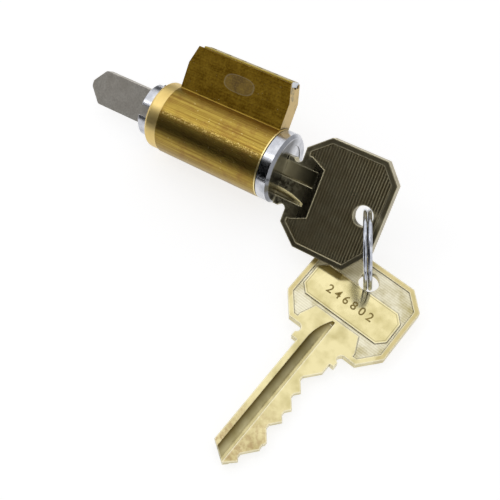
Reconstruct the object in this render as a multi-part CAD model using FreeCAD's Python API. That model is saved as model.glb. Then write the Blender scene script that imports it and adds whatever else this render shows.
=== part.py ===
import FreeCAD, Part
import math
import os

# Pin tumbler lock cylinder for a lever or knob: its key turns the plug, and a spare key hangs on a split ring.
# Frame while modelling: X along the plug's axis towards the key, Z along the fin that holds the pins, and the
# origin on the plug's axis in the middle of the rear collar. Lengths are millimetres, angles are degrees.

# Fits
runningGap = 0.05
endPlay = 0.10
chamberFit = 0.05
keywayFit = 0.10
seatGap = 0.05
slotFit = 0.15

# Rear collar and plug
shellWall = 1.55
collarInset = 0.18
collarLength = 3.20
collarRounding = 0.70
plugRadius = 6.35
threadRelief = 0.20
bossLength = 3.00
bossChamfer = 0.35
flangeLength = 2.95
flangeGap = 0.15
flangeChamfer = 0.60
faceRecessRadius = 5.60
faceRecessDepth = 0.15

# Shell and fin
lastPinToShellRear = 3.60
shellLipWidth = 0.25
finThickness = 4.60
finHeight = 17.43
finKinkHeight = 13.37
finRearSlant = 1.25
finFrontSlant = 1.15
finFrontSetback = 0.45
finRootFillet = 0.35

# Pin chambers, pins and springs
pinPitch = 3.9675
firstPinFromFace = 5.87
pinDiameter = 2.92
chamberDepth = 1.60
driverLength = 4.20
driverChamfer = 0.25
keyPinTipAngle = 100.0
keyPinTipFlat = 0.50
springDiameter = 2.60
springWire = 0.30
springTurns = 6

# Cover over the chambers
coverGrooveWidth = 3.50
coverGrooveDepth = 0.85
coverThickness = 1.20
coverRearSetback = 2.20
coverFrontSetback = 0.05
coverEdgeChamfer = 0.20
stakeRadius = 0.75
stakeDepth = 0.45

# Tailpiece and what holds it
tailWidth = 8.00
tailThickness = 2.00
tailLength = 21.70
tailPointWidth = 1.30
tailPointLength = 2.85
tailCornerRadius = 0.80
tailSlotDepth = 6.10
crossSlotWidth = 2.40
crossSlotDepth = 4.20
tailPinDiameter = 1.60
tailPinHeight = 3.00

# Pin and spring that lock the collar on the plug
collarPinDiameter = 1.50
collarPinLength = 1.75
collarPinEngagement = 0.60
collarSpringDiameter = 1.20
collarSpringWire = 0.22
collarSpringLength = 1.60
collarSpringTurns = 2

# Key blade, measured from the shoulder that stops on the plug's face
keyThickness = 2.10
keyDrop = 2.09
spineHeight = -4.05
bladeHeight = 8.45
tipLength = 3.30
apexHeight = 0.05
spineCornerBack = 2.70
topCornerBack = 4.15
rootFlat = 0.79
cutAngle = 100.0
depthStep = 0.381
depthAtZero = 8.51
cutDepths = (7, 5, 3, 5, 1, 7)
shoulderTop = 5.45
shoulderBottom = -5.50

# Long grooves of the blade, as heights from the bow's middle line
grooveDepth = 0.90
leftGrooveWall = -0.05
leftGrooveFloor = -0.75
leftGrooveEdge = -2.75
rightGrooveWall = -3.60
rightGrooveFloor = -3.00
rightGrooveEdge = -1.60
topMillDepth = 0.70
topMillHeight = 0.95
cutterRadius = 22.0
leftGrooveEnd = 7.90
rightGrooveEnd = 6.60
topMillEnd = 7.40

# Key bow, measured from the shoulder and from the bow's middle line
bowEnd = 24.20
bowHalfWidth = 12.45
endCornerTop = (8.50, 3.70)
endCornerBottom = (6.70, 4.30)
sideStart = 7.70
neckEnd = 3.10
neckWidth = 8.50
neckNotchRadius = 0.95
neckNotchOffset = 0.30
bowCornerRadius = 0.35
keyHoleDistance = 19.75
keyHoleRadius = 2.24
rimWidth = 1.15
fieldDepth = 0.20
plateStart = 9.30
plateEnd = 17.70
plateHalfWidth = 10.70
plateCorner = 1.75
panelNarrow = 5.50
panelWide = 7.10
panelFlare = 5.00
panelEnd = 8.50

# Split ring
ringMeanRadius = 8.20
ringWire = 0.74
ringTurnGap = 0.43
ringOverlap = 46.0

# How the set lies on the table
finTilt = 41.2
keyHoleRise = 13.22
spareHoleX = 6.96
spareHoleY = -7.93
spareHeading = 83.20
sparePitch = 1.30
restGap = 0.04
ringCentreX = 3.71
ringCentreY = -4.13
ringAxisHeading = 29.1
ringLean = 6.8
ringJoinAngle = 93.0

# Places that follow from the sizes above
pinCount = len(cutDepths)
pinSpan = (pinCount - 1) * pinPitch
bladeToApex = firstPinFromFace + pinSpan + tipLength
barrelRadius = plugRadius + shellWall
collarRadius = barrelRadius - collarInset
shellLength = firstPinFromFace - flangeLength - flangeGap + pinSpan + lastPinToShellRear
collarRear = -collarLength / 2
collarFront = collarLength / 2
shellRear = collarFront + endPlay
shellFront = shellRear + shellLength
flangeRear = shellFront + flangeGap
plugFace = flangeRear + flangeLength
bossRadius = plugRadius - threadRelief
bossRear = collarRear - bossLength
boreRadius = plugRadius + runningGap
pinRadius = pinDiameter / 2
chamberRadius = pinRadius + chamberFit
firstPin = plugFace - firstPinFromFace
pinPlaces = [firstPin - i * pinPitch for i in range(pinCount)]
spineZ = spineHeight - keyDrop
bladeTopZ = spineZ + bladeHeight
rootHeights = [spineZ + depthAtZero - d * depthStep for d in cutDepths]
driverFoot = plugRadius + seatGap
driverTop = driverFoot + driverLength
chamberTop = finHeight - coverGrooveDepth
springRoom = chamberTop - driverTop
finRear = shellRear
finFront = shellFront - finFrontSetback
tailSlotEnd = bossRear + tailSlotDepth
tailFoot = tailSlotEnd - seatGap
tailTip = -tailLength
ringPitch = ringWire + ringTurnGap

V = FreeCAD.Vector
X = V(1, 0, 0)
Y = V(0, 1, 0)
Z = V(0, 0, 1)


def cylinderX(radius, start, end):
    return Part.makeCylinder(radius, end - start, V(start, 0, 0), X)


def block(low, high):
    return Part.makeBox(high[0] - low[0], high[1] - low[1], high[2] - low[2], V(*low))


def plateXZ(points, thickness):
    """A flat plate with its outline in the X-Z plane, centred on Y = 0."""
    wire = Part.makePolygon([V(x, -thickness / 2, z) for x, z in points + points[:1]])
    return Part.Face(wire).extrude(V(0, thickness, 0))


def throughHole(radius, x, z, thickness):
    """What a drill takes out of a plate that is centred on Y = 0."""
    return Part.makeCylinder(radius, thickness + 2, V(x, -thickness / 2 - 1, z), Y)


def turned(outline, centre, axis, across):
    """A solid of revolution from (distance along, radius) points."""
    points = [centre + axis * a + across * r for a, r in outline]
    face = Part.Face(Part.makePolygon(points + points[:1]))
    return face.revolve(centre, axis, 360)


def edgesAt(shape, test):
    return [e for e in shape.Edges if test(e)]


def biarc(start, startTangent, end, endTangent):
    """Two arcs that leave start along one tangent and reach end along the other."""
    chord = end - start
    both = startTangent + endTangent
    spread = 2 * (1 - startTangent.dot(endTangent))
    along = chord.dot(both)
    reach = (-along + math.sqrt(along * along + spread * chord.dot(chord))) / spread
    corners = (start + startTangent * reach, end - endTangent * reach)
    middle = (corners[0] + corners[1]) / 2
    arcs = []
    for a, corner, b in ((start, corners[0], middle), (middle, corners[1], end)):
        half = (b - a).Length / 2
        chordMiddle = (a + b) / 2
        swing = math.acos(half / reach)
        bulge = (corner - chordMiddle).normalize() * half * math.tan(swing / 2)
        arcs.append(Part.Arc(a, chordMiddle + bulge, b).toShape())
    return arcs


def coil(radius, wire, turns, heightAt, stepsPerTurn, name):
    """One unbroken wire wound about Z, whose height is a function of the turns made so far."""
    steps = round(turns * stepsPerTurn)

    def place(s):
        angle = 2 * math.pi * s
        return V(radius * math.cos(angle), radius * math.sin(angle), heightAt(s))

    def tangent(s):
        nudge = 1e-5
        return (place(s + nudge) - place(s - nudge)).normalize()

    marks = [turns * i / steps for i in range(steps + 1)]
    edges = []
    for a, b in zip(marks, marks[1:]):
        edges += biarc(place(a), tangent(a), place(b), tangent(b))
    path = Part.Wire(edges)
    section = Part.Wire(Part.Circle(place(0), tangent(0), wire / 2).toShape())
    tube = path.makePipeShell([section], True, False)
    gap = min(
        (place(a / 40) - place(b / 40)).Length
        for a in range(int(turns * 40) + 1)
        for b in range(a + 20, int(turns * 40) + 1)
    ) - wire
    print(name, "least gap to itself", round(gap, 3))
    return tube


def makeShell():
    barrel = cylinderX(barrelRadius, shellRear, shellFront)
    finOutline = [
        (finRear, 0),
        (finRear, finKinkHeight),
        (finRear + finRearSlant, finHeight),
        (finFront - finFrontSlant, finHeight),
        (finFront, finKinkHeight),
        (finFront, 0),
    ]
    shell = barrel.fuse(plateXZ(finOutline, finThickness)).removeSplitter()
    junction = math.sqrt(barrelRadius**2 - (finThickness / 2) ** 2)

    def isRoot(edge):
        middle = edge.CenterOfMass
        along = edge.BoundBox.XLength > shellLength / 2
        return along and abs(middle.z - junction) < 0.1 and abs(abs(middle.y) - finThickness / 2) < 0.1

    roots = edgesAt(shell, isRoot)
    shell = shell.makeFillet(finRootFillet, roots)
    shell = shell.cut(cylinderX(boreRadius, shellRear - 1, shellFront + 1))
    lip = turned(
        [(0, boreRadius), (0, boreRadius + shellLipWidth), (-shellLipWidth, boreRadius)],
        V(shellFront, 0, 0),
        X,
        Z,
    )
    shell = shell.cut(lip)
    for x in pinPlaces:
        shell = shell.cut(Part.makeCylinder(chamberRadius, finHeight, V(x, 0, 0), Z))
    groove = block(
        (finRear - 1, -coverGrooveWidth / 2, chamberTop),
        (finFront + 1, coverGrooveWidth / 2, finHeight + 1),
    )
    return shell.cut(groove).removeSplitter()


def coverEnds():
    return finRear + coverRearSetback, finFront - finFrontSlant - coverFrontSetback


def makePinCover():
    rear, front = coverEnds()
    half = coverGrooveWidth / 2 - seatGap / 2
    cover = block((rear, -half, chamberTop), (front, half, chamberTop + coverThickness))
    top = chamberTop + coverThickness
    longEdges = edgesAt(cover, lambda e: e.BoundBox.XLength > 1 and e.CenterOfMass.z > top - 0.01)
    cover = cover.makeChamfer(coverEdgeChamfer, longEdges)
    for x in pinPlaces:
        dent = Part.makeCone(stakeRadius, 0, stakeDepth, V(x, 0, top), V(0, 0, -1))
        cover = cover.cut(dent)
    return cover


def bladeSection():
    """The blade's section as (y, z) points, with its grooves and the thinned upper part."""
    half = keyThickness / 2
    z = [
        (half, spineZ),
        (half, leftGrooveEdge - keyDrop),
        (half - grooveDepth, leftGrooveFloor - keyDrop),
        (half - grooveDepth, leftGrooveWall - keyDrop),
        (half, leftGrooveWall - keyDrop),
        (half, bladeTopZ),
        (-half + topMillDepth, bladeTopZ),
        (-half + topMillDepth, topMillHeight - keyDrop),
        (-half, topMillHeight - keyDrop),
        (-half, rightGrooveEdge - keyDrop),
        (-half + grooveDepth, rightGrooveFloor - keyDrop),
        (-half + grooveDepth, rightGrooveWall - keyDrop),
        (-half, rightGrooveWall - keyDrop),
        (-half, spineZ),
    ]
    return Part.makePolygon([V(0, y, h) for y, h in z + z[:1]])


def makeKeyway():
    wide = Part.Face(bladeSection()).makeOffset2D(keywayFit, 2)
    way = wide.extrude(V(plugFace - tailSlotEnd + 1, 0, 0))
    way.translate(V(tailSlotEnd - 0.5, 0, 0))
    half = keyThickness / 2 + keywayFit
    breakout = block((tailSlotEnd - 0.5, -half, -plugRadius - 1), (flangeRear, half, spineZ + 0.2))
    return way.fuse(breakout)


def collarPinDirection():
    return V(0, -math.sqrt(0.5), -math.sqrt(0.5))


def collarPinCylinder(radius, start, end):
    """A cylinder along the collar pin's direction, from start to end as measured from the plug's axis."""
    return Part.makeCylinder(radius, end - start, collarPinDirection() * start, collarPinDirection())


def collarPinTop():
    return bossRadius + collarPinEngagement


def collarPinHoleFloor():
    return collarPinTop() - collarPinLength - collarSpringLength


def makePlug():
    plug = cylinderX(bossRadius, bossRear, collarFront + seatGap)
    plug = plug.fuse(cylinderX(plugRadius, collarFront + seatGap, flangeRear))
    plug = plug.fuse(cylinderX(barrelRadius, flangeRear, plugFace))

    def isRim(edge):
        centre = edge.CenterOfMass
        size = edge.BoundBox.YLength
        front = abs(centre.x - plugFace) < 0.01 and abs(size - 2 * barrelRadius) < 0.01
        rear = abs(centre.x - bossRear) < 0.01 and abs(size - 2 * bossRadius) < 0.01
        return front or rear

    rims = edgesAt(plug, isRim)
    frontRims = [e for e in rims if e.CenterOfMass.x > 0]
    plug = plug.makeChamfer(flangeChamfer, frontRims)
    rearRims = [e for e in edgesAt(plug, isRim) if e.CenterOfMass.x < 0]
    plug = plug.makeChamfer(bossChamfer, rearRims)
    plug = plug.cut(cylinderX(faceRecessRadius, plugFace - faceRecessDepth, plugFace + 1))
    plug = plug.cut(makeKeyway())
    for x in pinPlaces:
        chamber = Part.makeCylinder(chamberRadius, plugRadius + chamberDepth, V(x, 0, -chamberDepth), Z)
        plug = plug.cut(chamber)
    tailHalf = tailThickness / 2 + slotFit
    reach = plugRadius + 1
    plug = plug.cut(block((bossRear - 1, -tailHalf, -reach), (tailSlotEnd, tailHalf, reach)))
    crossHalf = crossSlotWidth / 2
    crossEnd = bossRear + crossSlotDepth
    plug = plug.cut(block((bossRear - 1, -reach, -crossHalf), (crossEnd, reach, crossHalf)))
    tailPinHole = throughHole(tailPinDiameter / 2 + seatGap, 0, tailPinHeight, 2 * plugRadius)
    floor = collarPinHoleFloor()
    collarPinHole = collarPinCylinder(collarPinDiameter / 2 + seatGap, floor, floor + reach)
    return plug.cut(tailPinHole).cut(collarPinHole).removeSplitter()


def makeRearCollar():
    collar = cylinderX(collarRadius, collarRear, collarFront)
    rear = edgesAt(collar, lambda e: abs(e.CenterOfMass.x - collarRear) < 0.01)
    collar = collar.makeFillet(collarRounding, rear)
    collar = collar.cut(cylinderX(bossRadius + seatGap, collarRear - 1, collarFront + 1))
    pocket = collarPinCylinder(collarPinDiameter / 2 + seatGap, bossRadius / 2, collarPinTop() + seatGap)
    return collar.cut(pocket)


def makeCollarPin():
    top = collarPinTop()
    return collarPinCylinder(collarPinDiameter / 2, top - collarPinLength, top)


def closedCoil(length, diameter, wire, turns, name):
    """A compression spring that fills its length, standing on Z = 0."""
    rise = (length - wire) / turns
    return coil((diameter - wire) / 2, wire, turns, lambda s: wire / 2 + rise * s, 4, name)


def makeCollarSpring():
    length = collarSpringLength - 2 * seatGap
    spring = closedCoil(length, collarSpringDiameter, collarSpringWire, collarSpringTurns, "collar spring")
    spring.translate(V(0, 0, collarPinHoleFloor() + seatGap))
    turn = FreeCAD.Rotation(Z, collarPinDirection())
    spring.Placement = FreeCAD.Placement(V(0, 0, 0), turn).multiply(spring.Placement)
    return spring


def makeTailpiece():
    half = tailWidth / 2
    point = tailPointWidth / 2
    outline = [
        (tailFoot, -half),
        (tailFoot, half),
        (tailTip + tailPointLength, half),
        (tailTip, point),
        (tailTip, -point),
        (tailTip + tailPointLength, -half),
    ]
    blade = plateXZ(outline, tailThickness)

    def isPointCorner(edge):
        nearPoint = edge.CenterOfMass.x < tailTip + tailPointLength + 0.1
        return nearPoint and edge.BoundBox.YLength > tailThickness / 2

    blade = blade.makeFillet(tailCornerRadius, edgesAt(blade, isPointCorner))
    return blade.cut(throughHole(tailPinDiameter / 2 + seatGap, 0, tailPinHeight, tailThickness))


def makeTailpiecePin():
    half = math.sqrt(bossRadius**2 - (tailPinHeight + tailPinDiameter / 2) ** 2) - seatGap
    return Part.makeCylinder(tailPinDiameter / 2, 2 * half, V(0, -half, tailPinHeight), Y)


def makeKeyPin(x, root):
    """Its tip sits in the key's cut, and its domed top ends just inside the plug's surface."""
    tip = keyPinTipFlat / 2
    cone = (pinRadius - tip) / math.tan(math.radians(keyPinTipAngle / 2))
    foot = root + seatGap
    outline = [(0, 0), (0, tip), (cone, pinRadius), (plugRadius - foot, pinRadius), (plugRadius - foot, 0)]
    pin = turned(outline, V(x, 0, foot), Z, X)
    dome = Part.makeSphere(plugRadius - 0.02, V(x, 0, 0))
    return pin.common(dome)


def makeDriverPin(x):
    pin = Part.makeCylinder(pinRadius, driverLength, V(x, 0, driverFoot), Z)
    return pin.makeChamfer(driverChamfer, edgesAt(pin, lambda e: e.Closed and e.BoundBox.ZLength < 0.01))


def makeSpring(x):
    length = springRoom - 2 * seatGap
    spring = closedCoil(length, springDiameter, springWire, springTurns, "pin spring")
    spring.translate(V(x, 0, driverTop + seatGap))
    return spring


def bowOutline(inset=0.0):
    """The bow's corners from the neck's top, clockwise, or a face drawn in from them by the inset."""
    topWidth, topRun = endCornerTop
    bottomWidth, bottomRun = endCornerBottom
    corners = [
        (neckEnd, neckWidth),
        (sideStart, bowHalfWidth),
        (bowEnd - topRun, bowHalfWidth),
        (bowEnd, topWidth),
        (bowEnd, -bottomWidth),
        (bowEnd - bottomRun, -bowHalfWidth),
        (sideStart, -bowHalfWidth),
        (neckEnd, -neckWidth),
    ]
    if not inset:
        return corners
    wire = Part.makePolygon([V(x, 0, z) for x, z in corners + corners[:1]])
    return Part.Face(wire).makeOffset2D(-inset)


def keyBlank():
    """Blade, neck and bow as one flat plate; X from the shoulder, Z from the bow's middle line."""
    bladeTop = spineHeight + bladeHeight
    blade = [
        (0, bladeTop),
        (-bladeToApex + topCornerBack, bladeTop),
        (-bladeToApex, apexHeight),
        (-bladeToApex + spineCornerBack, spineHeight),
        (0, spineHeight),
    ]
    outline = blade + [(0, shoulderBottom), (neckEnd, shoulderBottom)] + bowOutline()[::-1]
    outline += [(neckEnd, shoulderTop), (0, shoulderTop)]
    blank = plateXZ(outline, keyThickness)
    corners = bowOutline()[1:-1]

    def isBowCorner(edge):
        middle = edge.CenterOfMass
        upright = edge.BoundBox.YLength > keyThickness / 2
        return upright and any(math.hypot(middle.x - x, middle.z - z) < 0.01 for x, z in corners)

    blank = blank.makeFillet(bowCornerRadius, edgesAt(blank, isBowCorner))
    notchX = neckEnd - neckNotchRadius
    for z in (shoulderTop + neckNotchOffset, shoulderBottom - neckNotchOffset):
        blank = blank.cut(throughHole(neckNotchRadius, notchX, z, keyThickness))
    return blank.cut(throughHole(keyHoleRadius, keyHoleDistance, 0, keyThickness))


def cutTool(index, depth):
    """A wedge that mills one cut down to its root height."""
    x = -firstPinFromFace - index * pinPitch
    root = spineHeight + depthAtZero - depth * depthStep
    rise = bladeHeight
    run = rise * math.tan(math.radians(cutAngle / 2))
    half = rootFlat / 2
    wedge = [
        (x - half, root),
        (x - half - run, root + rise),
        (x + half + run, root + rise),
        (x + half, root),
    ]
    return plateXZ(wedge, keyThickness + 2)


def grooveTool(side, wall, floor, edge, end):
    """What a side cutter takes out of one face of the blade, with its curved run-out at the neck."""
    depth = grooveDepth
    face = side * keyThickness / 2
    inner = face - side * depth
    section = [(inner, wall), (face, wall), (face, edge), (inner, floor)]
    wire = Part.makePolygon([V(-bladeToApex - 1, y, z) for y, z in section + section[:1]])
    lift = cutterRadius - depth
    runOut = math.sqrt(cutterRadius**2 - lift**2)
    stop = end - runOut
    straight = Part.Face(wire).extrude(V(stop + bladeToApex + 1, 0, 0))
    profile = Part.makePolygon([V(stop, y, z) for y, z in section + section[:1]])
    centre = V(stop, face + side * lift, 0)
    sweep = 1.2 * math.degrees(math.asin(runOut / cutterRadius))
    wheel = Part.Face(profile).revolve(centre, Z, side * sweep)
    outside = 2 * cutterRadius
    low = min(face, face + side * outside)
    keep = block((stop - 1, low, -outside), (stop + outside, low + outside, outside))
    return straight.fuse(wheel.cut(keep))


def makeKey():
    """The key in its own frame: X from the shoulder, Y across its thickness, Z from the bow's middle line."""
    key = keyBlank()
    for i, depth in enumerate(cutDepths):
        key = key.cut(cutTool(i, depth))
    key = key.cut(grooveTool(1, leftGrooveWall, leftGrooveFloor, leftGrooveEdge, leftGrooveEnd))
    key = key.cut(grooveTool(-1, rightGrooveWall, rightGrooveFloor, rightGrooveEdge, rightGrooveEnd))
    half = keyThickness / 2
    millFloor = -half + topMillDepth
    bladeTop = spineHeight + bladeHeight
    key = key.cut(block((-bladeToApex - 1, -half - 1, topMillHeight), (0, millFloor, bladeTop + 1)))
    key = key.cut(block((-1, -half - 1, topMillHeight), (topMillEnd, millFloor, bladeTop)))
    field = bowOutline(rimWidth)
    panel = [
        (-1, -panelWide),
        (panelFlare, -panelWide),
        (panelEnd, -panelNarrow),
        (panelEnd, panelNarrow),
        (panelFlare, panelWide),
        (-1, panelWide),
    ]
    plate = [
        (plateStart + plateCorner, -plateHalfWidth),
        (plateEnd - plateCorner, -plateHalfWidth),
        (plateEnd, -plateHalfWidth + plateCorner),
        (plateEnd, plateHalfWidth - plateCorner),
        (plateEnd - plateCorner, plateHalfWidth),
        (plateStart + plateCorner, plateHalfWidth),
        (plateStart, plateHalfWidth - plateCorner),
        (plateStart, -plateHalfWidth + plateCorner),
    ]
    raised = plateXZ(panel, keyThickness + 2).fuse(plateXZ(plate, keyThickness + 2))
    for side in (1, -1):
        pocket = field.copy()
        pocket.translate(V(0, side * (half - fieldDepth), 0))
        pocket = pocket.extrude(V(0, side * 1.0, 0))
        kept = raised if side > 0 else plateXZ(panel, keyThickness + 2)
        key = key.cut(pocket.cut(kept))
    return key.removeSplitter()


def splitRing():
    """Two flat turns of wire side by side, joined by one crossing; the ring's axis is Z."""
    turns = 2 - ringOverlap / 360
    crossing = 0.125

    def heightAt(s):
        share = min(max((s - turns / 2) / crossing + 0.5, 0), 1)
        return ringPitch * (share * share * (3 - 2 * share) - 0.5)

    return coil(ringMeanRadius, ringWire, turns, heightAt, 8, "split ring")


def barrelRise():
    """The angle at which the inserted key's hole is as high as the ring under it holds it."""
    roll = math.radians(finTilt)
    reach = plugFace + keyHoleDistance - collarRear
    lift = collarRadius - keyDrop * math.sin(roll)
    return math.asin(keyHoleRise / math.hypot(reach, lift)) - math.atan2(lift, reach)


def lockPlacement():
    """From the lock's own frame to the table's: the fin leans away and the front end is raised."""
    roll = FreeCAD.Rotation(X, finTilt - 90)
    rise = FreeCAD.Rotation(Y, -math.degrees(barrelRise()))
    return FreeCAD.Placement(V(0, 0, 0), rise.multiply(roll))


def tableHeight():
    """The table lies under the rear collar's lowest point."""
    return collarRear * math.sin(barrelRise()) - collarRadius * math.cos(barrelRise())


def insertedKeyPlacement():
    return lockPlacement().multiply(FreeCAD.Placement(V(plugFace, 0, -keyDrop), FreeCAD.Rotation()))


def keyHoleCentre():
    return insertedKeyPlacement().multVec(V(keyHoleDistance, 0, 0))


def spareKeyPlacement():
    """Flat on the table, cuts to the right, with the bow lifted a little by the ring under it."""
    turn = FreeCAD.Rotation(Z, spareHeading)
    pitch = FreeCAD.Rotation(Y, -sparePitch)
    lay = FreeCAD.Rotation(X, 90)
    attitude = turn.multiply(pitch).multiply(lay)
    tipHeight = tableHeight() + restGap + keyThickness / 2
    rise = (bladeToApex + keyHoleDistance) * math.sin(math.radians(sparePitch))
    upper = keyHoleCentre()
    hole = V(upper.x + spareHoleX, upper.y + spareHoleY, tipHeight + rise)
    return FreeCAD.Placement(hole - attitude.multVec(V(keyHoleDistance, 0, 0)), attitude)


def ringPlacement():
    """The ring stands on the table and leans a little, threaded through both keys' holes."""
    lean = math.radians(ringLean)
    rise = ringMeanRadius * math.cos(lean) + ringPitch / 2 * math.sin(lean) + ringWire / 2
    upper = keyHoleCentre()
    centre = V(upper.x + ringCentreX, upper.y + ringCentreY, tableHeight() + restGap + rise)
    heading = FreeCAD.Rotation(Z, ringAxisHeading)
    tip = FreeCAD.Rotation(Y, 90 - ringLean)
    start = FreeCAD.Rotation(Z, ringJoinAngle)
    return FreeCAD.Placement(centre, heading.multiply(tip).multiply(start))


def save(name, shape):
    solids = shape.Solids
    if not solids or not shape.isValid():
        raise ValueError(name + " is not a valid solid")
    shape = solids[0] if len(solids) == 1 else Part.makeCompound(solids)
    shape.exportStep("parts/" + name + ".step")
    print(name, len(solids), "solid", round(shape.Volume, 1), "mm3")


def moved(shape, placement):
    copy = shape.copy()
    copy.Placement = placement.multiply(copy.Placement)
    return copy


os.makedirs("parts", exist_ok=True)
lock = lockPlacement()
lockPieces = {
    "shell": makeShell(),
    "pin_cover": makePinCover(),
    "plug": makePlug(),
    "rear_collar": makeRearCollar(),
    "collar_pin": makeCollarPin(),
    "collar_pin_spring": makeCollarSpring(),
    "tailpiece": makeTailpiece(),
    "tailpiece_pin": makeTailpiecePin(),
}
for number, place in enumerate(pinPlaces, 1):
    lockPieces["key_pin_%d" % number] = makeKeyPin(place, rootHeights[number - 1])
    lockPieces["driver_pin_%d" % number] = makeDriverPin(place)
    lockPieces["pin_spring_%d" % number] = makeSpring(place)
for name, shape in lockPieces.items():
    save(name, moved(shape, lock))
keyShape = makeKey()
save("key", moved(keyShape, insertedKeyPlacement()))
save("spare_key", moved(keyShape, spareKeyPlacement()))
save("key_ring", moved(splitRing(), ringPlacement()))
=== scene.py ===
import bpy
import bmesh
import math
from mathutils import Euler, Matrix, Vector


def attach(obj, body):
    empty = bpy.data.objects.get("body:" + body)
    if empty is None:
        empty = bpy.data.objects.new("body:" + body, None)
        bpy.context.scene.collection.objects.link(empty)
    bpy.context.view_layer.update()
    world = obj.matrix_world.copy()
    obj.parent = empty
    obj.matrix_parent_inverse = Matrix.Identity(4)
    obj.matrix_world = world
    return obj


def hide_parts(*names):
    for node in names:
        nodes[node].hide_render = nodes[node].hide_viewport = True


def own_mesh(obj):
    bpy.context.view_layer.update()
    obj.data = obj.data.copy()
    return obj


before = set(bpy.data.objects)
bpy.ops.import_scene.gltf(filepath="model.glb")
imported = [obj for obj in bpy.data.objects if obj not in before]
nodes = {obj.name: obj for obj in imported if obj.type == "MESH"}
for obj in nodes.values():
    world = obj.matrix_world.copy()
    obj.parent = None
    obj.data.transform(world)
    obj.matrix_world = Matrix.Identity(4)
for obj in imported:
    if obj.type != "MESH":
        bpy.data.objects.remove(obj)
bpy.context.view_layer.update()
print("frame loaded", len(nodes), "nodes")

mm = 0.001
# The square root of a half, for faces and corners at 45 degrees.
diagonal = 0.7071

# How the lock and the spare key lie, as the solids have them: turns in degrees, places in millimetres. The
# lock's own X runs forward along the plug and its Z up the fin. A key's own X runs from its tip towards its
# bow, past the shoulder at 0, its Y through its thickness and its Z towards its cuts.
layout = {
    "lockTurn": (-48.8, -7.6087, 0), "plugFace": 31.0075, "keyDrop": 2.09,
    "pins": 6, "firstPin": 25.1375, "pinPitch": 3.9675,
    "spareTurn": (90, -1.3, 83.2), "spareShoulder": (55.115, -29.109, -6.116),
    "table": -7.864,
}


def linear(hexColour):
    value = hexColour.lstrip("#")
    channels = [int(value[i:i + 2], 16) / 255 for i in (0, 2, 4)]
    return [c / 12.92 if c <= 0.04045 else ((c + 0.055) / 1.055) ** 2.4 for c in channels] + [1.0]


def turnMatrix(degrees):
    return Euler([math.radians(a) for a in degrees]).to_matrix().to_4x4()


def add(tree, kind, settings=None, links=None):
    # One node with its settings, by name or socket number, and what feeds its sockets.
    node = tree.nodes.new(kind)
    for key, value in (settings or {}).items():
        if isinstance(key, str) and hasattr(node, key):
            setattr(node, key, value)
        else:
            node.inputs[key].default_value = value
    for key, source in (links or {}).items():
        socket = source if isinstance(source, bpy.types.NodeSocket) else source.outputs[0]
        tree.links.new(socket, node.inputs[key])
    return node


def newMaterial(name):
    material = bpy.data.materials.new(name)
    material.use_nodes = True
    material.node_tree.nodes.clear()
    return material, material.node_tree


def newPiece(name, shape, material):
    mesh = bpy.data.meshes.new(name)
    shape.to_mesh(mesh)
    shape.free()
    mesh.materials.append(material)
    piece = bpy.data.objects.new(name, mesh)
    bpy.context.scene.collection.objects.link(piece)
    return piece


def localPlace(tree, turn, origin=(0, 0, 0)):
    # A point's place on the lock or the key itself, in millimetres, and which way its surface faces there.
    coordinates = add(tree, "ShaderNodeTexCoord").outputs
    angles = [math.radians(a) for a in turn]
    point = add(tree, "ShaderNodeMapping",
                {"vector_type": "TEXTURE", "Rotation": angles, "Location": origin, "Scale": (mm, mm, mm)},
                {"Vector": coordinates["Object"]})
    normal = add(tree, "ShaderNodeMapping", {"vector_type": "TEXTURE", "Rotation": angles},
                 {"Vector": coordinates["Normal"]})
    place = add(tree, "ShaderNodeSeparateXYZ", {}, {0: point})
    facing = add(tree, "ShaderNodeSeparateXYZ", {}, {0: normal})
    return point, place.outputs, facing.outputs


# What the metals share, where their own settings don't say otherwise: dirt with painted shade in inner
# corners, and rubbing with a painted highlight on outer edges, which reaches a multiple of their rounding. In
# all these settings sizes and places are in millimetres, angles in radians, and a range names the sockets of
# the node that turns a pattern or a place into a share.
metalLook = {
    "bevelSamples": 4, "cornerSamples": 6,
    "grimeAndShade": "#2b2417", "cornerReach": 0.6, "cornerRange": {"From Min": 0.92, "From Max": 0.45, "To Max": 0.9},
    "wearAndHighlight": None, "edgeReach": 1.3, "edgeRange": {"From Min": 0.95, "From Max": 0.6, "To Max": 0.8},
}


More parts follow.
